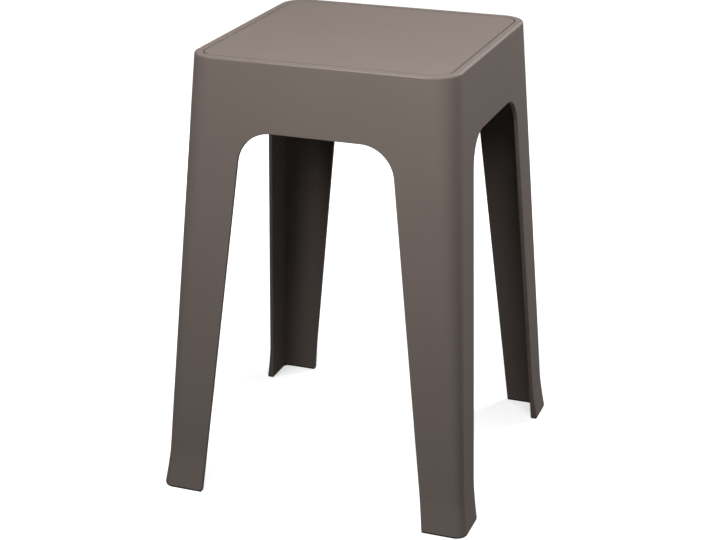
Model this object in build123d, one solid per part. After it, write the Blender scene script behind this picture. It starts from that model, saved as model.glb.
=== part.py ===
from build123d import *
import os

# Plastic stool: one moulded body with four angle-section legs, a seat panel that snaps into its rim,
# and a soft pad under each foot. Millimetres, +Z up, front at -Y, origin on the floor under the seat's centre.

# Overall form
HEIGHT = 450.0  # floor to the top of the seat
SEAT_WIDTH = 265.0  # across the side faces, carried up to the seat
BASE_WIDTH = 319.0  # across the side faces, carried straight down to the floor
SEAT_CORNER_RADIUS = 27.0  # outer corners in plan, at the seat
BASE_CORNER_RADIUS = 9.0  # outer corners in plan, at the floor
WALL = 4.2  # skirts and legs
SEAT_EDGE_RADIUS = 2.0  # between the seat rim and the side faces

# Skirts, legs and the arch between each two legs
SKIRT_DEPTH = 68.5  # from the seat's top to the top of the arch
LEG_TOP_WIDTH = 61.3  # from the side face to the leg's edge, carried up to the top of the arch
LEG_FOOT_WIDTH = 41.0  # the same at the floor
ARCH_CORNER_RADIUS = 34.0
ARCH_EDGE_RADIUS = 0.8  # rounding of the wall's edges along the arch

# Feet
FLARE = 3.3  # how far a foot stands out from the leg's straight face
FLARE_HEIGHT = 40.0  # where the flare starts
FLARE_POWER = 1.4  # 1 opens straight, more opens later
FLARE_SECTIONS = 4

# Seat panel and its place in the rim
RIM_WIDTH = 8.5  # from the seat's edge to the line round the panel
PANEL_THICKNESS = 4.0
PANEL_GAP = 0.5  # all round the panel
GROOVE_EDGE_RADIUS = 0.8  # rounding of both edges of that gap
LEDGE_WIDTH = 9.0  # what carries the panel's edge
LEDGE_THICKNESS = 3.5

# Ribs under the panel
RIB_COUNT = 5  # each way
RIB_THICKNESS = 2.0
RIB_DEPTH = 12.0
RIB_END_MARGIN = 5.0  # from a rib's end to the ledge

# Snap hooks under the panel, two to a side
HOOK_SPACING = 120.0
HOOK_WIDTH = 16.0
HOOK_THICKNESS = 2.2
HOOK_CATCH = 1.4  # how far a hook reaches under the ledge
HOOK_HEAD = 3.0  # height of the slanted head
HOOK_CLEARANCE = 0.3

# Foot pads
PAD_THICKNESS = 2.0  # what shows under the foot
PAD_INSET = 0.4  # from the foot's edges
PAD_EDGE_RADIUS = 0.5  # rounding where the pad meets the floor
TONGUE_THICKNESS = 2.0
TONGUE_HEIGHT = 6.0
TONGUE_COVER = 1.5  # leg wall left on the inner side of the tongue's slot
TONGUE_END_MARGIN = 5.0  # from the pad's ends
TONGUE_CLEARANCE = 0.15  # on each side of the tongue and above it

# Heights that follow from these
FOOT_END = PAD_THICKNESS
ARCH_HEIGHT = HEIGHT - SKIRT_DEPTH
PANEL_BOTTOM = HEIGHT - PANEL_THICKNESS
LEDGE_BOTTOM = PANEL_BOTTOM - LEDGE_THICKNESS

# Half widths and radii that follow from these
RECESS_HALF = SEAT_WIDTH / 2 - RIM_WIDTH
RECESS_RADIUS = SEAT_CORNER_RADIUS - RIM_WIDTH
OPENING_HALF = RECESS_HALF - LEDGE_WIDTH
OPENING_RADIUS = RECESS_RADIUS - LEDGE_WIDTH

# Which way each leg lies from the middle
CORNERS = {
    "front_left": (-1, -1),
    "front_right": (1, -1),
    "rear_left": (-1, 1),
    "rear_right": (1, 1),
}


def half_width(z):
    """Half the width across the straight side faces at a height."""
    return (BASE_WIDTH + (SEAT_WIDTH - BASE_WIDTH) * z / HEIGHT) / 2


def corner_radius(z):
    """Plan radius of the outer corners at a height."""
    return BASE_CORNER_RADIUS + (SEAT_CORNER_RADIUS - BASE_CORNER_RADIUS) * z / HEIGHT


def flare(z):
    """How far the foot stands out at a height."""
    return FLARE * max(0.0, 1 - z / FLARE_HEIGHT) ** FLARE_POWER


def arch_half(z):
    """Half the gap between two legs' straight edges at a height."""
    top = half_width(ARCH_HEIGHT) - LEG_TOP_WIDTH
    foot = half_width(0) - LEG_FOOT_WIDTH
    return foot + (top - foot) * z / ARCH_HEIGHT


def square(half, radius, z):
    """A square with rounded corners, level, at a height."""
    return Plane.XY.offset(z) * RectangleRounded(2 * half, 2 * half, radius)


def outer_section(z, grow=0.0):
    """The stool's outline at a height, grown or shrunk evenly."""
    step = flare(z) + grow
    return square(half_width(z) + step, corner_radius(z) + step, z)


def inner_section(z, grow=0.0):
    """The outline of the hollow inside the walls at a height."""
    step = grow - WALL
    return square(half_width(z) + step, corner_radius(z) + step, z)


def arch():
    """The opening between two legs, seen from the front, carried through from wall to wall."""
    low = arch_half(0)
    high = arch_half(ARCH_HEIGHT)
    corners = [(-low, 0), (-high, ARCH_HEIGHT), (high, ARCH_HEIGHT), (low, 0)]
    outline = Plane.XZ * make_face(Polyline(*corners, close=True))
    top_corners = outline.vertices().group_by(Axis.Z)[-1]
    return extrude(fillet(top_corners, ARCH_CORNER_RADIUS), BASE_WIDTH, both=True)


def foot_ring(outer, inner, side_x, side_y, end_inset):
    """What lies between two outlines at the foot's end, within one leg."""
    ring = outer - inner
    centre = arch_half(FOOT_END) + end_inset + BASE_WIDTH / 2
    return ring & Pos(side_x * centre, side_y * centre, FOOT_END) * Rectangle(BASE_WIDTH, BASE_WIDTH)


def tongue(side_x, side_y, clearance):
    """The upright rib of a foot pad, or with a clearance the slot that it goes into."""
    inner = inner_section(FOOT_END, TONGUE_COVER - clearance)
    outer = inner_section(FOOT_END, TONGUE_COVER + TONGUE_THICKNESS + clearance)
    section = foot_ring(outer, inner, side_x, side_y, PAD_INSET + TONGUE_END_MARGIN - clearance)
    return extrude(section, TONGUE_HEIGHT + clearance)


def foot_pad(side_x, side_y):
    """Soft L-shaped pad under one leg, with a tongue that presses up into the foot."""
    outer = outer_section(FOOT_END, -PAD_INSET)
    inner = inner_section(FOOT_END, PAD_INSET)
    sole = extrude(foot_ring(outer, inner, side_x, side_y, PAD_INSET), -PAD_THICKNESS)
    sole = fillet(sole.edges().group_by(Axis.Z)[0], PAD_EDGE_RADIUS)
    return sole + tongue(side_x, side_y, 0)


def body():
    """Rim, ledge, skirts and legs, moulded in one."""
    rise = (FLARE_HEIGHT - FOOT_END) / FLARE_SECTIONS
    foot_heights = [FOOT_END + step * rise for step in range(FLARE_SECTIONS + 1)]
    feet = loft([outer_section(z) for z in foot_heights])
    sides = loft([outer_section(FLARE_HEIGHT), outer_section(HEIGHT)], ruled=True)
    shell = feet + sides
    shell = fillet(shell.faces().sort_by(Axis.Z)[-1].edges(), SEAT_EDGE_RADIUS)
    shell -= loft([inner_section(0), inner_section(LEDGE_BOTTOM)], ruled=True)
    shell -= extrude(square(OPENING_HALF, OPENING_RADIUS, LEDGE_BOTTOM), HEIGHT)
    shell -= extrude(square(RECESS_HALF, RECESS_RADIUS, PANEL_BOTTOM), HEIGHT)
    rim = shell.faces().sort_by(Axis.Z)[-1]
    shell = fillet(rim.inner_wires().edges(), GROOVE_EDGE_RADIUS)
    for turn in (0, 90):
        opening = Rot(0, 0, turn) * arch()
        before = shell
        shell = before - opening
        shell = fillet(new_edges(before, opening, combined=shell), ARCH_EDGE_RADIUS)
    for side_x, side_y in CORNERS.values():
        shell -= tongue(side_x, side_y, TONGUE_CLEARANCE)
    return shell


def snap_hook():
    """One hook at the middle of the +X side, its head caught under the ledge."""
    outside = OPENING_HALF - HOOK_CLEARANCE
    inside = outside - HOOK_THICKNESS
    catch = LEDGE_BOTTOM - HOOK_CLEARANCE
    tip = catch - HOOK_HEAD
    profile = Polyline(
        (inside, PANEL_BOTTOM),
        (outside, PANEL_BOTTOM),
        (outside, catch),
        (OPENING_HALF + HOOK_CATCH, catch),
        (outside, tip),
        (inside, tip),
        close=True,
    )
    return extrude(Plane.XZ * make_face(profile), HOOK_WIDTH / 2, both=True)


def seat_panel():
    """Flat panel that fills the rim, with a grid of ribs and eight hooks on its underside."""
    plate = extrude(square(RECESS_HALF - PANEL_GAP, RECESS_RADIUS - PANEL_GAP, PANEL_BOTTOM), PANEL_THICKNESS)
    panel = fillet(plate.edges().group_by(Axis.Z)[-1], GROOVE_EDGE_RADIUS)
    length = 2 * (OPENING_HALF - RIB_END_MARGIN)
    pitch = length / RIB_COUNT
    for number in range(RIB_COUNT):
        offset = (number - (RIB_COUNT - 1) / 2) * pitch
        rib = Pos(0, offset, PANEL_BOTTOM - RIB_DEPTH / 2) * Box(length, RIB_THICKNESS, RIB_DEPTH)
        panel += [rib, Rot(0, 0, 90) * rib]
    for turn in (0, 90, 180, 270):
        for along in (-HOOK_SPACING / 2, HOOK_SPACING / 2):
            panel += Rot(0, 0, turn) * Pos(0, along, 0) * snap_hook()
    return panel


pieces = {"body": body(), "seat_panel": seat_panel()}
for corner, (side_x, side_y) in CORNERS.items():
    pieces["foot_pad_" + corner] = foot_pad(side_x, side_y)

os.makedirs("parts", exist_ok=True)
for name, piece in pieces.items():
    export_step(piece, f"parts/{name}.step")
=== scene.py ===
import math

import bpy
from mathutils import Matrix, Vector


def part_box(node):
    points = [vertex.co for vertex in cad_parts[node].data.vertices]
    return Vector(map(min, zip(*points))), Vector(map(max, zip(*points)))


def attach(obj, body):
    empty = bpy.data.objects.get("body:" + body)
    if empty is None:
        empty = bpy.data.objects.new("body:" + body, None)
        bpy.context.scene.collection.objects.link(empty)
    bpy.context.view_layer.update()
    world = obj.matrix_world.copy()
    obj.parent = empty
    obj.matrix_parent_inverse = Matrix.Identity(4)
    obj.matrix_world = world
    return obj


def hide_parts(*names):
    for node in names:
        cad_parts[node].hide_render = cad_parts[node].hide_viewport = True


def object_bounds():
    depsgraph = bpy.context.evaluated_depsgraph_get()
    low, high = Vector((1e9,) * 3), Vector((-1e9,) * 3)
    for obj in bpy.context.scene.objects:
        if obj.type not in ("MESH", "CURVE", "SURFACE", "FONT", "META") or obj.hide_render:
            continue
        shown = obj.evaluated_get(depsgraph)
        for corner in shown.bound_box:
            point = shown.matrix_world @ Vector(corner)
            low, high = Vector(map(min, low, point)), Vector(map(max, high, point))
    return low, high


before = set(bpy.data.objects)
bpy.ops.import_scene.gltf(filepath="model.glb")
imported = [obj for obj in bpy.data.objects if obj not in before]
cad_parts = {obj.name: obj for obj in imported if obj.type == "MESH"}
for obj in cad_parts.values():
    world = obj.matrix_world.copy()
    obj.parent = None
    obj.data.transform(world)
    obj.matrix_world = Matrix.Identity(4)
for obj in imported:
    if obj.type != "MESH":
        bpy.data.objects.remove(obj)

cad_low, cad_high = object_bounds()

# Body: rim, ledge, skirts and four angle-section legs, injection moulded in one piece from a taupe
# polypropylene with a fine grain. It is open underneath, so that stools stack, and each foot flares
# out a little and has a slot in its end for the tongue of its pad.
BODY_SIZES = {
    "height": cad_high.z,
    "seat width": 0.265,
    "base width": 0.319,
    "seat corner radius": 0.027,
    "base corner radius": 0.009,
    "wall": 0.0042,
    "seat edge radius": 0.002,
    "skirt depth": 0.0685,
    "leg top width": 0.0613,
    "leg foot width": 0.041,
    "arch corner radius": 0.034,
    "arch edge radius": 0.0008,
    "flare": 0.0033,
    "flare height": 0.04,
    "flare power": 1.4,
    "foot end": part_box("body")[0].z,
    "rim width": 0.0085,
    "panel thickness": 0.004,
    "groove edge radius": 0.0018,
    "ledge width": 0.009,
    "ledge thickness": 0.0035,
    "slot cover": 0.00135,
    "slot width": 0.0023,
    "slot depth": 0.00615,
}

# Steps of the mesh along a leg's edge, across a leg and round its corner
FOOT_STEPS = 6
LEG_STEPS = 16
ARC_STEPS = 16
TOP_STEPS = 6
FLAT_STEPS = 7
EDGE_STEPS = 3
CORNER_STEPS = 8

# Steps of the mesh across the rim
SEAT_EDGE_STEPS = 6
GROOVE_STEPS = 5

# Points closer than the weld distance become one, and an edge stays crisp where its faces turn by more
# than the sharp angle
WELD_DISTANCE = 0.00001
SHARP_ANGLE = math.radians(40)

QUARTER_TURN = math.pi / 2
EIGHTH_TURN = math.pi / 4


class Number:
    """A number inside a node tree, so that the rule of a shape reads as plain arithmetic."""

    def __init__(self, tree, socket):
        self.tree = tree
        self.socket = socket

    def worked(self, operation, first, second=0.0, clamped=False):
        node = self.tree.nodes.new("ShaderNodeMath")
        node.operation = operation
        node.use_clamp = clamped
        feed(self.tree, node.inputs[0], first)
        feed(self.tree, node.inputs[1], second)
        return Number(self.tree, node.outputs["Value"])

    def __add__(self, other):
        return self.worked("ADD", self, other)

    def __sub__(self, other):
        return self.worked("SUBTRACT", self, other)

    def __rsub__(self, other):
        return self.worked("SUBTRACT", other, self)

    def __neg__(self):
        return self.worked("SUBTRACT", 0.0, self)

    def __mul__(self, other):
        return self.worked("MULTIPLY", self, other)

    def __rmul__(self, other):
        return self.worked("MULTIPLY", other, self)

    def __truediv__(self, other):
        return self.worked("DIVIDE", self, other)

    def __pow__(self, other):
        return self.worked("POWER", self, other)


def feed(tree, socket, value):
    """Links a number worked out in the tree to a socket, or writes a plain value there."""
    if isinstance(value, Number):
        tree.links.new(value.socket, socket)
    else:
        socket.default_value = value


def sine(angle):
    return angle.worked("SINE", angle)


def cosine(angle):
    return angle.worked("COSINE", angle)


def share(count, start, steps):
    """How far a count has come through a stretch of steps, from 0 to 1."""
    return count.worked("DIVIDE", count - start, steps, clamped=True)


def tree_with_sizes(name, sizes):
    """A new geometry tree with a named input for each size, and those inputs as numbers."""
    tree = bpy.data.node_groups.new(name, "GeometryNodeTree")
    tree.interface.new_socket("Geometry", in_out="OUTPUT", socket_type="NodeSocketGeometry")
    for size_name in sizes:
        tree.interface.new_socket(size_name, in_out="INPUT", socket_type="NodeSocketFloat")
    inputs = tree.nodes.new("NodeGroupInput")
    return tree, {size_name: Number(tree, inputs.outputs[size_name]) for size_name in sizes}


def patch(tree, columns, rows, place):
    """A sheet of quads whose points lie where place(column, row) says."""
    grid = tree.nodes.new("GeometryNodeMeshGrid")
    grid.inputs["Vertices X"].default_value = columns + 1
    grid.inputs["Vertices Y"].default_value = rows + 1
    index = Number(tree, tree.nodes.new("GeometryNodeInputIndex").outputs["Index"])
    # Half a step more keeps the division clear of rounding
    column = index.worked("FLOOR", (index + 0.5) / (rows + 1))
    row = index - column * (rows + 1)
    point = tree.nodes.new("ShaderNodeCombineXYZ")
    for socket, value in zip(point.inputs, place(column, row)):
        feed(tree, socket, value)
    placed = tree.nodes.new("GeometryNodeSetPosition")
    tree.links.new(grid.outputs["Mesh"], placed.inputs["Geometry"])
    tree.links.new(point.outputs["Vector"], placed.inputs["Position"])
    return placed.outputs["Geometry"]


def joined(tree, sheets):
    """Several sheets as one mesh, not yet welded."""
    join = tree.nodes.new("GeometryNodeJoinGeometry")
    for sheet in sheets:
        tree.links.new(sheet, join.inputs["Geometry"])
    return join.outputs["Geometry"]


def turned(tree, sheet, angle):
    """A copy turned about the upright axis."""
    turn = tree.nodes.new("GeometryNodeTransform")
    rotation = tree.nodes.new("ShaderNodeCombineXYZ")
    feed(tree, rotation.inputs["Z"], angle)
    tree.links.new(sheet, turn.inputs["Geometry"])
    tree.links.new(rotation.outputs["Vector"], turn.inputs["Rotation"])
    return turn.outputs["Geometry"]


def mirrored(tree, sheet):
    """The mirror image of a sheet across x = 0, its faces still outward."""
    mirror = tree.nodes.new("GeometryNodeTransform")
    mirror.inputs["Scale"].default_value = (-1, 1, 1)
    tree.links.new(sheet, mirror.inputs["Geometry"])
    outward = tree.nodes.new("GeometryNodeFlipFaces")
    tree.links.new(mirror.outputs["Geometry"], outward.inputs["Mesh"])
    return outward.outputs["Mesh"]


def four_round(tree, side):
    """One side of the stool set round all four sides."""
    points = tree.nodes.new("GeometryNodePoints")
    points.inputs["Count"].default_value = 4
    index = Number(tree, tree.nodes.new("GeometryNodeInputIndex").outputs["Index"])
    rotation = tree.nodes.new("ShaderNodeCombineXYZ")
    feed(tree, rotation.inputs["Z"], index * QUARTER_TURN)
    sides = tree.nodes.new("GeometryNodeInstanceOnPoints")
    tree.links.new(points.outputs["Points"], sides.inputs["Points"])
    tree.links.new(side, sides.inputs["Instance"])
    tree.links.new(rotation.outputs["Vector"], sides.inputs["Rotation"])
    return sides.outputs["Instances"]


def welded(tree, shape):
    """Real, joined-up geometry, with the seams between its sheets closed."""
    real = tree.nodes.new("GeometryNodeRealizeInstances")
    tree.links.new(shape, real.inputs["Geometry"])
    weld = tree.nodes.new("GeometryNodeMergeByDistance")
    weld.inputs["Distance"].default_value = WELD_DISTANCE
    tree.links.new(real.outputs["Geometry"], weld.inputs["Geometry"])
    return weld.outputs["Geometry"]


def finish_tree(tree, shape, material):
    """Ends a tree with real geometry in its material."""
    real = tree.nodes.new("GeometryNodeRealizeInstances")
    tree.links.new(shape, real.inputs["Geometry"])
    smooth = tree.nodes.new("GeometryNodeSetShadeSmooth")
    tree.links.new(real.outputs["Geometry"], smooth.inputs["Geometry"])
    coloured = tree.nodes.new("GeometryNodeSetMaterial")
    coloured.inputs["Material"].default_value = material
    tree.links.new(smooth.outputs["Geometry"], coloured.inputs["Geometry"])
    output = tree.nodes.new("NodeGroupOutput")
    tree.links.new(coloured.outputs["Geometry"], output.inputs["Geometry"])


def piece_from_tree(name, tree, sizes):
    """An object with the mesh that a tree makes from its sizes."""
    empty_mesh = bpy.data.meshes.new(name)
    piece = bpy.data.objects.new(name, empty_mesh)
    bpy.context.scene.collection.objects.link(piece)
    modifier = piece.modifiers.new(tree.name, "NODES")
    modifier.node_group = tree
    for item in tree.interface.items_tree:
        if item.in_out == "INPUT":
            modifier[item.identifier] = sizes[item.name]
    evaluated = piece.evaluated_get(bpy.context.evaluated_depsgraph_get())
    mesh = bpy.data.meshes.new_from_object(evaluated)
    piece.modifiers.remove(modifier)
    piece.data = mesh
    bpy.data.meshes.remove(empty_mesh)
    mesh.name = name
    mesh.set_sharp_from_angle(angle=SHARP_ANGLE)
    even = piece.modifiers.new("even_flats", "WEIGHTED_NORMAL")
    even.keep_sharp = True
    return piece


def half_width(form, z):
    """Half the width across the straight side faces at a height."""
    return (form["base width"] + (form["seat width"] - form["base width"]) * z / form["height"]) / 2


def corner_radius(form, z):
    """Plan radius of the outer corners at a height."""
    rise = z / form["height"]
    return form["base corner radius"] + (form["seat corner radius"] - form["base corner radius"]) * rise


def straight_half(form, z):
    """From a side face's middle to where its rounded corner begins."""
    return half_width(form, z) - corner_radius(form, z)


def flare(form, z):
    """How far the foot stands out at a height."""
    left = z.worked("SUBTRACT", 1.0, z / form["flare height"], clamped=True)
    return form["flare"] * left ** form["flare power"]


def node_of(tree, kind, **values):
    """A new shader node with its sockets set."""
    node = tree.nodes.new(kind)
    for socket_name, value in values.items():
        node.inputs[socket_name.replace("_", " ")].default_value = value
    return node


def noise(tree, per_metre, detail):
    """Uneven values about a half, so many to the metre, fixed to the piece."""
    place = tree.nodes.new("ShaderNodeTexCoord")
    texture = node_of(tree, "ShaderNodeTexNoise", Scale=per_metre, Detail=detail)
    tree.links.new(place.outputs["Object"], texture.inputs["Vector"])
    return Number(tree, texture.outputs["Fac"])


def place_on(tree):
    """Where the shaded point lies on the stool."""
    place = tree.nodes.new("ShaderNodeTexCoord")
    where = tree.nodes.new("ShaderNodeSeparateXYZ")
    tree.links.new(place.outputs["Object"], where.inputs["Vector"])
    return [Number(tree, where.outputs[axis]) for axis in "XYZ"]


# Nearly all of a noise's values lie between these two
NOISE_LOW = 0.3
NOISE_HIGH = 0.7


def between(tree, uneven, low, high):
    """Uneven values stretched to run from a low to a high one."""
    stretched = node_of(
        tree, "ShaderNodeMapRange", From_Min=NOISE_LOW, From_Max=NOISE_HIGH, To_Min=low, To_Max=high
    )
    tree.links.new(uneven.socket, stretched.inputs["Value"])
    return Number(tree, stretched.outputs["Result"])


def shaded(tree, uneven, colour, spread):
    """A colour that is darker and lighter by a spread where the uneven values are low and high."""
    ramp = tree.nodes.new("ShaderNodeValToRGB")
    dark_end, light_end = ramp.color_ramp.elements
    ends = ((dark_end, NOISE_LOW, 1 - spread), (light_end, NOISE_HIGH, 1 + spread))
    for end, position, brightness in ends:
        end.position = position
        end.color = [channel * brightness for channel in colour] + [1]
    tree.links.new(uneven.socket, ramp.inputs["Fac"])
    return ramp.outputs["Color"]


def bumped(tree, uneven, depth, under=None):
    """A surface normal with bumps of a depth in metres, on top of the bumps under them."""
    bump = node_of(tree, "ShaderNodeBump", Distance=depth)
    tree.links.new(uneven.socket, bump.inputs["Height"])
    if under:
        tree.links.new(under, bump.inputs["Normal"])
    return bump.outputs["Normal"]


# The plastic: faint clouds and pigment specks in its colour, a slow waviness from cooling in the mould and a
# fine grain from the mould's surface, which leaves the faces matt. The seat's rounded edge is smoother along
# its sides. The sunken places of its top, the groove and the round mark, have painted shade: their colour is
# darkened.
PLASTIC_COLOUR = (0.183, 0.15, 0.133)
PLASTIC_SPREAD = 0.06
PLASTIC_ROUGHNESS = (0.8, 0.92)
PLASTIC_SPECULAR = 0.25
EDGE_ROUGHNESS = 0.25
EDGE_FADE = 0.0005
CORNER_FADE = 0.006
# Painted shade: how much darker the colour is made in the recesses of the top
PAINTED_HOLLOW_SHADE = 0.25
HOLLOW_FULL_DEPTH = 0.0009
HOLLOW_FLOOR = 0.002
CLOUDS_PER_METRE = 9
CLOUD_SHARE = 0.6
SPECKS_PER_METRE = 600
WAVES_PER_METRE = 12
WAVE_DEPTH = 0.0003
GRAIN_PER_METRE = 1300
GRAIN_DEPTH = 0.00002

plastic = bpy.data.materials.new("taupe_plastic")
plastic.use_nodes = True
resin = plastic.node_tree
surface = resin.nodes["Principled BSDF"]
surface.inputs["Specular IOR Level"].default_value = PLASTIC_SPECULAR
clouds = noise(resin, CLOUDS_PER_METRE, detail=3)
specks = noise(resin, SPECKS_PER_METRE, detail=2)
waves = bumped(resin, noise(resin, WAVES_PER_METRE, detail=1), WAVE_DEPTH)
grain = bumped(resin, noise(resin, GRAIN_PER_METRE, detail=2), GRAIN_DEPTH, under=waves)
pigment = clouds * CLOUD_SHARE + specks * (1 - CLOUD_SHARE)
mottled = shaded(resin, pigment, PLASTIC_COLOUR, PLASTIC_SPREAD)
matt = between(resin, (clouds + specks) / 2, *PLASTIC_ROUGHNESS)
corner_centre = BODY_SIZES["seat width"] / 2 - BODY_SIZES["seat corner radius"]


def past_corner_centre(place):
    """How far a place lies past the centre of the seat's rounded corner along one axis, or 0 before it."""
    return place.worked("MAXIMUM", place.worked("ABSOLUTE", place) - corner_centre, 0.0)


x, y, z = place_on(resin)
past_x = past_corner_centre(x)
past_y = past_corner_centre(y)
from_outline = BODY_SIZES["seat corner radius"] - (past_x ** 2 + past_y ** 2) ** 0.5
below_top = BODY_SIZES["height"] - z

# The seat's edge lies outside the flat of the rim and above the side faces, and its corners are left out
seat_edge = BODY_SIZES["seat edge radius"]
off_the_rim = z.worked("DIVIDE", seat_edge - from_outline, EDGE_FADE, clamped=True)
off_the_sides = z.worked("DIVIDE", seat_edge - below_top, EDGE_FADE, clamped=True)
in_corner = z.worked("DIVIDE", past_x.worked("MINIMUM", past_x, past_y), CORNER_FADE, clamped=True)
on_edge = off_the_rim * off_the_sides * (1 - in_corner)

# A recess lies within the rim, a little below the top, and its colour gets painted shade
rim_end = BODY_SIZES["rim width"] - BODY_SIZES["groove edge radius"]
within_rim = z.worked("GREATER_THAN", from_outline, rim_end)
near_top = z.worked("LESS_THAN", below_top, HOLLOW_FLOOR)
shade_painted_in_recess = z.worked("DIVIDE", below_top, HOLLOW_FULL_DEPTH, clamped=True) * within_rim * near_top
# Painted shade: the plastic's colour is darkened in the recesses of the top, fully at the full depth
shade_painted_colour = resin.nodes.new("ShaderNodeVectorMath")
shade_painted_colour.operation = "SCALE"
resin.links.new(mottled, shade_painted_colour.inputs["Vector"])
feed(resin, shade_painted_colour.inputs["Scale"], 1 - PAINTED_HOLLOW_SHADE * shade_painted_in_recess)
resin.links.new(shade_painted_colour.outputs["Vector"], surface.inputs["Base Color"])
feed(resin, surface.inputs["Roughness"], matt + (EDGE_ROUGHNESS - matt) * on_edge)
resin.links.new(grain, surface.inputs["Normal"])

body_tree, form = tree_with_sizes("moulded_body", BODY_SIZES)
ARC_START = FOOT_STEPS + LEG_STEPS
TOP_START = ARC_START + ARC_STEPS
EDGE_LENGTH = TOP_START + TOP_STEPS
CORNER_LENGTH = ARC_START + ARC_STEPS // 2

arch_height = form["height"] - form["skirt depth"]
arch_foot = form["base width"] / 2 - form["leg foot width"]
arch_top = half_width(form, arch_height) - form["leg top width"]
arch_slope = (arch_foot - arch_top) / arch_height
arch_lean = arch_slope.worked("ARCTANGENT", arch_slope)
arc_z = arch_height - form["arch corner radius"]
arc_start_z = arc_z + form["arch corner radius"] * sine(arch_lean)
arc_x = arch_foot - arch_slope * arc_start_z - form["arch corner radius"] * cosine(arch_lean)
arc_share = arc_x / straight_half(form, form["height"])
ledge_bottom = form["height"] - form["panel thickness"] - form["ledge thickness"]
fillet_start = form["height"] - form["seat edge radius"]


def leg_height(step):
    """Height of a step along the leg's straight edge."""
    foot = (form["flare height"] - form["foot end"]) * share(step, 0, FOOT_STEPS)
    leg = (arc_start_z - form["flare height"]) * share(step, FOOT_STEPS, LEG_STEPS)
    return form["foot end"] + foot + leg


def across(step):
    """Where a step's line meets the skirt's top, as a share of the way from the middle to the corner."""
    along_skirt = share(step, CORNER_LENGTH, ARC_STEPS / 2)
    return 1 - (1 - arc_share) * along_skirt - arc_share * share(step, TOP_START, TOP_STEPS)


def limit_height(step, top):
    """Height at which a step's line meets the corner or, past the middle of the arc, the skirt's top."""
    return leg_height(step) + (top - arc_start_z) * share(step, ARC_START, ARC_STEPS / 2)


def wall_point(step, row):
    """From the corner over the outer face, round the arch's edge and back over the inner face."""
    outer_run = share(row, 0, FLAT_STEPS)
    outer_round = share(row, FLAT_STEPS, EDGE_STEPS) * QUARTER_TURN
    end_run = share(row, FLAT_STEPS + EDGE_STEPS, 1)
    inner_round = share(row, FLAT_STEPS + EDGE_STEPS + 1, EDGE_STEPS) * QUARTER_TURN
    inner_run = share(row, FLAT_STEPS + 2 * EDGE_STEPS + 1, FLAT_STEPS)

    drop = arc_start_z - leg_height(step)
    turn = arch_lean + (QUARTER_TURN - arch_lean) * share(step, ARC_START, ARC_STEPS)
    set_back = 2 - sine(outer_round) - cosine(inner_round)
    reach = form["arch corner radius"] + form["arch edge radius"] * set_back
    edge_x = arc_x * (1 - share(step, TOP_START, TOP_STEPS)) + reach * cosine(turn) + arch_slope * drop
    edge_z = arc_z + reach * sine(turn) - drop

    outer_z = limit_height(step, fillet_start)
    inner_z = limit_height(step, ledge_bottom)
    outer_x = straight_half(form, outer_z) * across(step)
    inner_x = straight_half(form, inner_z) * across(step)
    x = edge_x + (outer_x - edge_x) * (1 - outer_run) + (inner_x - edge_x) * inner_run
    z = edge_z + (outer_z - edge_z) * (1 - outer_run) + (inner_z - edge_z) * inner_run

    rounding = form["arch edge radius"] * (1 - cosine(outer_round) + sine(inner_round))
    depth = rounding + (form["wall"] + flare(form, z) - 2 * form["arch edge radius"]) * end_run
    return x, depth - half_width(form, z) - flare(form, z), z


def corner_point(z, angle, grow):
    """On a rounded corner at a height, from the front face at angle 0 to the diagonal."""
    radius = corner_radius(form, z) + grow
    straight = straight_half(form, z)
    return straight + radius * sine(angle), -straight - radius * cosine(angle), z


def outer_corner_point(step, row):
    z = limit_height(step, fillet_start)
    return corner_point(z, (1 - row / CORNER_STEPS) * EIGHTH_TURN, flare(form, z))


def inner_corner_point(step, row):
    return corner_point(limit_height(step, ledge_bottom), row / CORNER_STEPS * EIGHTH_TURN, -form["wall"])


def rim_point(column, row):
    """From the front face over the seat's edge, the rim, the groove and the ledge to the inner wall."""
    skirt_columns = EDGE_LENGTH - CORNER_LENGTH
    line = across(EDGE_LENGTH - skirt_columns * share(column, 0, skirt_columns))
    angle = share(column, skirt_columns, CORNER_STEPS) * EIGHTH_TURN

    groove_start = SEAT_EDGE_STEPS + 1
    recess_start = groove_start + GROOVE_STEPS
    over = share(row, 0, SEAT_EDGE_STEPS) * QUARTER_TURN
    rim_run = share(row, SEAT_EDGE_STEPS, 1)
    groove = share(row, groove_start, GROOVE_STEPS) * QUARTER_TURN
    recess_wall = share(row, recess_start, 1)
    ledge_run = share(row, recess_start + 1, 1)
    ledge_edge = share(row, recess_start + 2, 1)
    under_run = share(row, recess_start + 3, 1)

    edge_radius = form["seat edge radius"]
    groove_radius = form["groove edge radius"]
    edge_z = fillet_start + edge_radius * sine(over)
    recess_half = form["seat width"] / 2 - form["rim width"]
    rim_start = half_width(form, form["height"]) - edge_radius
    half = half_width(form, edge_z) - edge_radius * (1 - cosine(over))
    half = half + (recess_half + groove_radius - rim_start) * rim_run - groove_radius * sine(groove)
    half = half - form["ledge width"] * ledge_run
    inner_half = half_width(form, ledge_bottom) - form["wall"]
    half = half + (inner_half - recess_half + form["ledge width"]) * under_run

    z = edge_z - groove_radius * (1 - cosine(groove))
    z = z - (form["panel thickness"] - groove_radius) * recess_wall
    z = z - form["ledge thickness"] * ledge_edge

    straight = straight_half(form, edge_z + (ledge_bottom - edge_z) * under_run)
    x = straight * line + (half - straight) * sine(angle)
    return x, -straight - (half - straight) * cosine(angle), z


# Rows across a foot's end: the wall outside the slot, the slot's two sides and top, the wall inside it
SLOT_ROWS = 5


def across_foot(row, thickness, width_share):
    """Depth from the outer face and height above the foot's end at a row across the foot's end."""
    outer_side = (thickness - form["slot cover"] - form["slot width"]) * width_share
    inner_side = form["slot cover"] * width_share
    middle = thickness - outer_side - inner_side
    depth = outer_side * share(row, 0, 1) + middle * share(row, 2, 1) + inner_side * share(row, 4, 1)
    return depth, form["slot depth"] * (share(row, 1, 1) - share(row, 3, 1))


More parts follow.
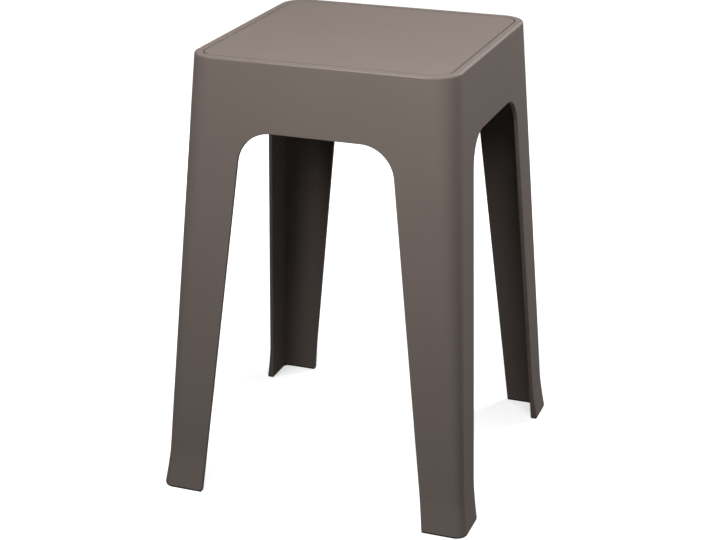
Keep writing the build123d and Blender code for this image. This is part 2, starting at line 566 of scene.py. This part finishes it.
def foot_arm_point(column, row):
    """The foot's end under the flat part of a leg's side, with the slot closed before the leg's edge."""
    slot_end = FLAT_STEPS - 1
    closed = share(column, slot_end, 1)
    first_step = column * 0
    x, y, z = wall_point(first_step, column - closed)
    rounding = y + half_width(form, z) + flare(form, z)
    thickness = form["wall"] + flare(form, z) - 2 * rounding
    depth, rise = across_foot(row, thickness, 1 - share(column, FLAT_STEPS + EDGE_STEPS, 1))
    return x, y + depth, z + rise * (1 - closed)


def foot_corner_point(column, row):
    """The foot's end under the leg's corner."""
    z = form["foot end"]
    depth, rise = across_foot(row, form["wall"] + flare(form, z), 1.0)
    x, y, z = corner_point(z, (1 - column / CORNER_STEPS) * EIGHTH_TURN, flare(form, z) - depth)
    return x, y, z + rise


WALL_ROWS = 2 * FLAT_STEPS + 2 * EDGE_STEPS + 1
RIM_COLUMNS = EDGE_LENGTH - CORNER_LENGTH + CORNER_STEPS
# Flat rows across the rim: its top, the recess's wall and the ledge's top, edge and underside
RIM_FLATS = 5
RIM_ROWS = SEAT_EDGE_STEPS + GROOVE_STEPS + RIM_FLATS
half_side = joined(body_tree, [
    patch(body_tree, EDGE_LENGTH, WALL_ROWS, wall_point),
    patch(body_tree, CORNER_LENGTH, CORNER_STEPS, outer_corner_point),
    patch(body_tree, CORNER_LENGTH, CORNER_STEPS, inner_corner_point),
    patch(body_tree, RIM_COLUMNS, RIM_ROWS, rim_point),
    patch(body_tree, FLAT_STEPS + EDGE_STEPS + 1, SLOT_ROWS, foot_arm_point),
    patch(body_tree, CORNER_STEPS, SLOT_ROWS, foot_corner_point),
])
side = joined(body_tree, [half_side, mirrored(body_tree, half_side)])
finish_tree(body_tree, welded(body_tree, four_round(body_tree, side)), plastic)

body = piece_from_tree("moulded_body", body_tree, BODY_SIZES)
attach(body, "root")
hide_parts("body")

# Seat panel: a flat moulded panel of the same plastic, sunk flush in the rim with a fine line all round
# it. Ribs stiffen its underside, eight hooks snap under the rim's ledge, and a shallow round mark in
# the middle of the top is left from the moulding.
PANEL_GAP = 0.0005
PANEL_SIZES = {
    "height": BODY_SIZES["height"],
    "width": BODY_SIZES["seat width"] - 2 * BODY_SIZES["rim width"] - 2 * PANEL_GAP,
    "corner radius": BODY_SIZES["seat corner radius"] - BODY_SIZES["rim width"] - PANEL_GAP,
    "thickness": BODY_SIZES["panel thickness"],
    "edge radius": BODY_SIZES["groove edge radius"],
    "mark radius": 0.0056,
    "mark depth": 0.0003,
    "rib length": 0.22,
    "rib thickness": 0.002,
    "rib depth": 0.012,
    "hook spacing": 0.12,
    "hook width": 0.016,
    "hook thickness": 0.0022,
    "hook reach": 0.1147,
    "hook drop": 0.0038,
    "hook catch": 0.0017,
    "hook head": 0.003,
}
RIB_COUNT = 5
PANEL_SIDE_STEPS = 6
PANEL_TOP_STEPS = 8
MARK_STEPS = 5
panel_tree, board = tree_with_sizes("seat_panel_moulding", PANEL_SIZES)
PANEL_COLUMNS = PANEL_SIDE_STEPS + CORNER_STEPS
panel_straight = board["width"] / 2 - board["corner radius"]
panel_bottom = board["height"] - board["thickness"]


def panel_edge(column, half):
    """On the panel's outline, from the middle of the front to the corner's diagonal."""
    angle = share(column, PANEL_SIDE_STEPS, CORNER_STEPS) * EIGHTH_TURN
    radius = half - panel_straight
    x = panel_straight * share(column, 0, PANEL_SIDE_STEPS) + radius * sine(angle)
    return x, -panel_straight - radius * cosine(angle)


def panel_point(column, row):
    """Up the panel's side, over its edge and across its top to the mark in the middle."""
    top_start = 1 + GROOVE_STEPS
    over = share(row, 1, GROOVE_STEPS) * QUARTER_TURN
    inward = share(row, top_start, PANEL_TOP_STEPS)
    mark = share(row, top_start + PANEL_TOP_STEPS, MARK_STEPS)
    edge_x, edge_y = panel_edge(column, board["width"] / 2 - board["edge radius"] * (1 - cosine(over)))
    round_angle = column / PANEL_COLUMNS * EIGHTH_TURN
    x = edge_x + (board["mark radius"] * sine(round_angle) - edge_x) * inward
    y = edge_y + (-board["mark radius"] * cosine(round_angle) - edge_y) * inward
    z = panel_bottom + (board["thickness"] - board["edge radius"]) * share(row, 0, 1)
    dip = board["mark depth"] * (1 - cosine(mark * math.pi)) / 2
    return x * (1 - mark), y * (1 - mark), z + board["edge radius"] * sine(over) - dip


def panel_underside_point(column, row):
    x, y = panel_edge(column, board["width"] / 2)
    return x * row, y * row, panel_bottom


def bar(tree, sizes, centre):
    """An upright block of given sizes about a centre."""
    cube = tree.nodes.new("GeometryNodeMeshCube")
    size = tree.nodes.new("ShaderNodeCombineXYZ")
    place = tree.nodes.new("ShaderNodeCombineXYZ")
    for node, values in ((size, sizes), (place, centre)):
        for socket, value in zip(node.inputs, values):
            feed(tree, socket, value)
    tree.links.new(size.outputs["Vector"], cube.inputs["Size"])
    move = tree.nodes.new("GeometryNodeTransform")
    tree.links.new(cube.outputs["Mesh"], move.inputs["Geometry"])
    tree.links.new(place.outputs["Vector"], move.inputs["Translation"])
    return move.outputs["Geometry"]


def drawn_in(tree, block, distance, outer_line, level):
    """A block whose points past an outer line and below a level are drawn in by a distance."""
    where = tree.nodes.new("ShaderNodeSeparateXYZ")
    position = tree.nodes.new("GeometryNodeInputPosition")
    tree.links.new(position.outputs["Position"], where.inputs["Vector"])
    y = Number(tree, where.outputs["Y"])
    z = Number(tree, where.outputs["Z"])
    below = z.worked("LESS_THAN", z, level)
    outside = y.worked("LESS_THAN", y, outer_line)
    offset = tree.nodes.new("ShaderNodeCombineXYZ")
    feed(tree, offset.inputs["Y"], below * outside * distance)
    moved = tree.nodes.new("GeometryNodeSetPosition")
    tree.links.new(block, moved.inputs["Geometry"])
    tree.links.new(offset.outputs["Vector"], moved.inputs["Offset"])
    return moved.outputs["Geometry"]


panel_eighth = joined(panel_tree, [
    patch(panel_tree, PANEL_COLUMNS, 1 + GROOVE_STEPS + PANEL_TOP_STEPS + MARK_STEPS, panel_point),
    patch(panel_tree, PANEL_COLUMNS, 1, panel_underside_point),
])
panel_side = joined(panel_tree, [panel_eighth, mirrored(panel_tree, panel_eighth)])
plate = welded(panel_tree, four_round(panel_tree, panel_side))

# Ribs both ways and two hooks to a side, each sunk half the panel's thickness into it
sunk = board["thickness"] / 2
rib_height = board["rib depth"] + sunk
rib_z = panel_bottom + sunk - rib_height / 2
stiffening = []
for number in range(RIB_COUNT):
    offset = (number - (RIB_COUNT - 1) / 2) * board["rib length"] / RIB_COUNT
    stiffening.append(bar(
        panel_tree,
        (board["rib length"], board["rib thickness"], rib_height),
        (0.0, offset, rib_z),
    ))
ribs_across = joined(panel_tree, stiffening)
ribs = joined(panel_tree, [ribs_across, turned(panel_tree, ribs_across, QUARTER_TURN)])
hook_y = -board["hook reach"]
stem_height = board["hook drop"] + sunk + board["hook head"]
stem_y = hook_y + board["hook thickness"] / 2
stem_z = panel_bottom + sunk - stem_height / 2
head_y = hook_y + (board["hook thickness"] - board["hook catch"]) / 2
head_z = panel_bottom - board["hook drop"] - board["hook head"] / 2
catch_line = hook_y - board["hook catch"] / 2
hooks_on_side = []
for side_sign in (-1, 1):
    hook_x = board["hook spacing"] / 2 * side_sign
    hooks_on_side.append(bar(
        panel_tree,
        (board["hook width"], board["hook thickness"], stem_height),
        (hook_x, stem_y, stem_z),
    ))
    head = bar(
        panel_tree,
        (board["hook width"], board["hook thickness"] + board["hook catch"], board["hook head"]),
        (hook_x, head_y, head_z),
    )
    hooks_on_side.append(drawn_in(panel_tree, head, board["hook catch"], catch_line, head_z))
hooks = four_round(panel_tree, joined(panel_tree, hooks_on_side))
union = panel_tree.nodes.new("GeometryNodeMeshBoolean")
union.operation = "UNION"
union.solver = "EXACT"
union.inputs["Self Intersection"].default_value = True
for shape in (plate, ribs, hooks):
    panel_tree.links.new(shape, union.inputs["Mesh"])
finish_tree(panel_tree, union.outputs["Mesh"], plastic)

panel = piece_from_tree("seat_panel_moulding", panel_tree, PANEL_SIZES)
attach(panel, "root")
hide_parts("seat_panel")

# Foot pads: four L-shaped soles of soft black rubber, moulded with an upright tongue that is pressed
# into the slot in the foot's end. They stop the stool from sliding and show as a dark line on the floor.
LEG_SIZE_NAMES = (
    "height", "seat width", "base width", "seat corner radius", "base corner radius", "wall", "skirt depth",
    "leg top width", "leg foot width", "flare", "flare height", "flare power", "foot end",
)
PAD_SIZES = {
    **{size_name: BODY_SIZES[size_name] for size_name in LEG_SIZE_NAMES},
    "inset": 0.0004,
    "bottom edge radius": 0.0005,
    "tongue cover": 0.0015,
    "tongue thickness": 0.002,
    "tongue height": 0.006,
    "tongue end margin": 0.005,
    "turn": 0.0,
}
PAD_TURNS = {"front_right": 0, "rear_right": 1, "rear_left": 2, "front_left": 3}

# The rubber: near black with a dusty bloom, dull, with a coarser grain than the plastic
RUBBER_COLOUR = (0.03, 0.027, 0.025)
RUBBER_SPREAD = 0.25
RUBBER_ROUGHNESS = (0.7, 0.9)
RUBBER_SPECULAR = 0.3
BLOOM_PER_METRE = 60
BLOOM_SHARE = 0.7
RUBBER_GRAIN_PER_METRE = 800
RUBBER_GRAIN_DEPTH = 0.00006

rubber = bpy.data.materials.new("pad_rubber")
rubber.use_nodes = True
compound = rubber.node_tree
rubber_surface = compound.nodes["Principled BSDF"]
rubber_surface.inputs["Specular IOR Level"].default_value = RUBBER_SPECULAR
bloom = noise(compound, BLOOM_PER_METRE, detail=3)
rubber_grain = noise(compound, RUBBER_GRAIN_PER_METRE, detail=2)
dust = bloom * BLOOM_SHARE + rubber_grain * (1 - BLOOM_SHARE)
dusty = shaded(compound, dust, RUBBER_COLOUR, RUBBER_SPREAD)
compound.links.new(dusty, rubber_surface.inputs["Base Color"])
feed(compound, rubber_surface.inputs["Roughness"], between(compound, bloom, *RUBBER_ROUGHNESS))
compound.links.new(bumped(compound, rubber_grain, RUBBER_GRAIN_DEPTH), rubber_surface.inputs["Normal"])

pad_tree, sole = tree_with_sizes("foot_pad", PAD_SIZES)
sole_top = sole["foot end"]
foot_thickness = sole["wall"] + flare(sole, sole_top)
foot_face = half_width(sole, sole_top) + flare(sole, sole_top)
pad_corner_x = straight_half(sole, sole_top)
arch_rise = sole["height"] - sole["skirt depth"]
edge_lean = sole["base width"] / 2 - half_width(sole, arch_rise)
edge_lean = edge_lean - sole["leg foot width"] + sole["leg top width"]
pad_end_x = sole["base width"] / 2 - sole["leg foot width"] + sole["inset"]
pad_end_x = pad_end_x - edge_lean * sole_top / arch_rise
PAD_ARM_COLUMNS = 3
PAD_COLUMNS = PAD_ARM_COLUMNS + CORNER_STEPS
# Flat rows round a pad: its bottom and two sides, two shoulders, and the tongue's top and two sides
PAD_FLATS = 8
PAD_ROWS = 2 * EDGE_STEPS + PAD_FLATS


def pad_section(row, tongue_rise, shoulder_share):
    """Depth from the foot's outer face and height, once round the pad from the top of its outer side."""
    radius = sole["bottom edge radius"]
    side = sole_top - radius
    outer_round = share(row, 1, EDGE_STEPS) * QUARTER_TURN
    bottom_run = share(row, 1 + EDGE_STEPS, 1)
    inner_round = share(row, 2 + EDGE_STEPS, EDGE_STEPS) * QUARTER_TURN
    top_start = 3 + 2 * EDGE_STEPS
    width = foot_thickness - 2 * sole["inset"]
    inner_shoulder = (sole["tongue cover"] - sole["inset"]) * shoulder_share
    outer_shoulder = width + sole["inset"] - sole["tongue cover"] - sole["tongue thickness"]
    outer_shoulder = outer_shoulder * shoulder_share
    depth = sole["inset"] + radius * (1 - cosine(outer_round) + sine(inner_round))
    depth = depth + (width - 2 * radius) * bottom_run - inner_shoulder * share(row, top_start, 1)
    depth = depth - (width - inner_shoulder - outer_shoulder) * share(row, top_start + 2, 1)
    depth = depth - outer_shoulder * share(row, top_start + 4, 1)
    z = side * (1 - share(row, 0, 1) + share(row, top_start - 1, 1))
    z = z + radius * (2 - sine(outer_round) - cosine(inner_round))
    z = z + tongue_rise * (share(row, top_start + 1, 1) - share(row, top_start + 3, 1))
    return depth, z


def pad_point(column, row):
    """Along one arm of the pad, from the leg's corner to the arm's end, and once round its section."""
    along = PAD_COLUMNS - column
    depth, z = pad_section(row, sole["tongue height"] * share(along, 1, 1), share(along, 0, 1))
    margin = sole["tongue end margin"]
    x = pad_end_x + margin * share(along, 0, 1) + (pad_corner_x - pad_end_x - margin) * share(along, 2, 1)
    angle = share(along, PAD_ARM_COLUMNS, CORNER_STEPS) * EIGHTH_TURN
    radius = foot_face - pad_corner_x - depth
    return x + radius * sine(angle), -pad_corner_x - radius * cosine(angle), z


def pad_end_point(column, row):
    """The flat end of an arm, from its outer to its inner side."""
    depth, z = pad_section(row, 0.0, 1.0)
    return pad_end_x, depth + (foot_thickness - 2 * depth) * column - foot_face, z


arm = joined(pad_tree, [
    patch(pad_tree, PAD_COLUMNS, PAD_ROWS, pad_point),
    patch(pad_tree, 1, 1 + EDGE_STEPS, pad_end_point),
])
both_arms = joined(pad_tree, [arm, turned(pad_tree, mirrored(pad_tree, arm), QUARTER_TURN)])
finish_tree(pad_tree, welded(pad_tree, turned(pad_tree, both_arms, sole["turn"])), rubber)

for corner, quarter_turns in PAD_TURNS.items():
    pad_sizes = {**PAD_SIZES, "turn": quarter_turns * QUARTER_TURN}
    pad = piece_from_tree("rubber_pad_" + corner, pad_tree, pad_sizes)
    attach(pad, "root")
    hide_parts("foot_pad_" + corner)

# Floor and backdrop: a plain pale studio floor and a white surround. Seen directly, in a shiny thing or
# through a clear one they are white, apart from the stool's soft shadow, and they throw little light on
# the stool.
FLOOR_HALF = 6.0
FLOOR_DROP = 0.0002
FLOOR_PALE = 0.85
FLOOR_BOUNCE = 0.03
GLOW_NEAR = 0.62
GLOW_FAR = 1.0
LAMPLIT_FROM = 0.25
LAMPLIT_TO = 1.25
SURROUND_LIGHT = 0.012


def grey(level):
    return (level, level, level, 1)


def by_ray(tree, unseen, seen):
    """One shader for the light that a backdrop throws, one for its look, also in shiny and clear things."""
    ray = tree.nodes.new("ShaderNodeLightPath")
    camera_ray = Number(tree, ray.outputs["Is Camera Ray"])
    glossy_ray = Number(tree, ray.outputs["Is Glossy Ray"])
    clear_ray = Number(tree, ray.outputs["Is Transmission Ray"])
    mirrored_or_clear = glossy_ray.worked("MAXIMUM", glossy_ray, clear_ray)
    mix = tree.nodes.new("ShaderNodeMixShader")
    feed(tree, mix.inputs["Fac"], camera_ray.worked("MAXIMUM", camera_ray, mirrored_or_clear))
    tree.links.new(unseen, mix.inputs[1])
    tree.links.new(seen, mix.inputs[2])
    return mix.outputs["Shader"]


floor_paint = bpy.data.materials.new("pale_studio_floor")
floor_paint.use_nodes = True
paint = floor_paint.node_tree
paint.nodes.clear()
bounced = node_of(paint, "ShaderNodeBsdfDiffuse", Color=grey(FLOOR_BOUNCE))
lit = node_of(paint, "ShaderNodeBsdfDiffuse", Color=grey(FLOOR_PALE))

# The floor glows more where the lamps reach it less, so that all of it looks white but for the shadow
floor_place = paint.nodes.new("ShaderNodeTexCoord")
from_stool = paint.nodes.new("ShaderNodeVectorMath")
from_stool.operation = "LENGTH"
paint.links.new(floor_place.outputs["Object"], from_stool.inputs[0])
glow_level = node_of(
    paint, "ShaderNodeMapRange", From_Min=LAMPLIT_FROM, From_Max=LAMPLIT_TO, To_Min=GLOW_NEAR, To_Max=GLOW_FAR
)
paint.links.new(from_stool.outputs["Value"], glow_level.inputs["Value"])
glow = paint.nodes.new("ShaderNodeEmission")
paint.links.new(glow_level.outputs["Result"], glow.inputs["Strength"])
floor_look = paint.nodes.new("ShaderNodeAddShader")
paint.links.new(lit.outputs["BSDF"], floor_look.inputs[0])
paint.links.new(glow.outputs["Emission"], floor_look.inputs[1])
floor_shader = by_ray(paint, bounced.outputs["BSDF"], floor_look.outputs["Shader"])
paint_output = paint.nodes.new("ShaderNodeOutputMaterial")
paint.links.new(floor_shader, paint_output.inputs["Surface"])

floor_mesh = bpy.data.meshes.new("floor")
floor_signs = ((-1, -1), (1, -1), (1, 1), (-1, 1))
floor_corners = [(x_sign * FLOOR_HALF, y_sign * FLOOR_HALF, -FLOOR_DROP) for x_sign, y_sign in floor_signs]
floor_mesh.from_pydata(floor_corners, [], [range(len(floor_corners))])
floor_mesh.materials.append(floor_paint)
floor = bpy.data.objects.new("floor", floor_mesh)
bpy.context.scene.collection.objects.link(floor)

surround = bpy.data.worlds.new("white_surround")
surround.use_nodes = True
bpy.context.scene.world = surround
sky = surround.node_tree
sky.nodes.clear()
soft = node_of(sky, "ShaderNodeBackground", Color=grey(1), Strength=SURROUND_LIGHT)
white = node_of(sky, "ShaderNodeBackground", Color=grey(1), Strength=1.0)
sky_shader = by_ray(sky, soft.outputs["Background"], white.outputs["Background"])
sky_output = sky.nodes.new("ShaderNodeOutputWorld")
sky.links.new(sky_shader, sky_output.inputs["Surface"])

# Lamps: small soft boxes aimed at the stool. Four stand in front of it, one behind it lights the right side
# from the rear, and a low one fills the back and the left side. The camera doesn't see them.
LAMP_AIM = Vector((0.0, 0.0, 0.3))
LAMP_SIZE = 0.4
LAMPS = {
    "high_left_softbox": {"place": (-0.4, -0.9, 1.6), "power": 9.3},
    "high_middle_softbox": {"place": (0.0, -0.7, 1.4), "power": 3.0},
    "front_softbox": {"place": (0.0, -0.9, 1.0), "power": 2.6},
    "near_right_softbox": {"place": (0.4, -0.5, 1.0), "power": 3.5},
    "rear_right_softbox": {"place": (0.6, 0.9, 1.2), "power": 11.5},
    "rear_left_softbox": {"place": (-0.9, 0.9, 0.25), "power": 3.0},
}
for lamp_name, lamp in LAMPS.items():
    light = bpy.data.lights.new(lamp_name, "AREA")
    light.size = LAMP_SIZE
    light.energy = lamp["power"]
    softbox = bpy.data.objects.new(lamp_name, light)
    softbox.location = lamp["place"]
    softbox.rotation_euler = (LAMP_AIM - softbox.location).to_track_quat("-Z", "Y").to_euler()
    softbox.visible_camera = False
    bpy.context.scene.collection.objects.link(softbox)

# Camera: it stands in front of the stool, to its right and above the seat, and looks down at it through a
# long lens, from where the photograph was taken. Sensor and lens are in millimetres, the turn in degrees.
SENSOR_WIDTH = 36
LENS_LENGTH = 85.09
CAMERA_PLACE = (0.5555, -1.5423, 0.8469)
CAMERA_TURN = (68.478, -0.038, 20.041)
lens = bpy.data.cameras.new("camera")
lens.sensor_width = SENSOR_WIDTH
lens.lens = LENS_LENGTH
camera = bpy.data.objects.new("camera", lens)
camera.location = CAMERA_PLACE
camera.rotation_euler = [math.radians(angle) for angle in CAMERA_TURN]
bpy.context.scene.collection.objects.link(camera)
bpy.context.scene.camera = camera
bpy.context.scene.view_settings.view_transform = "Standard"
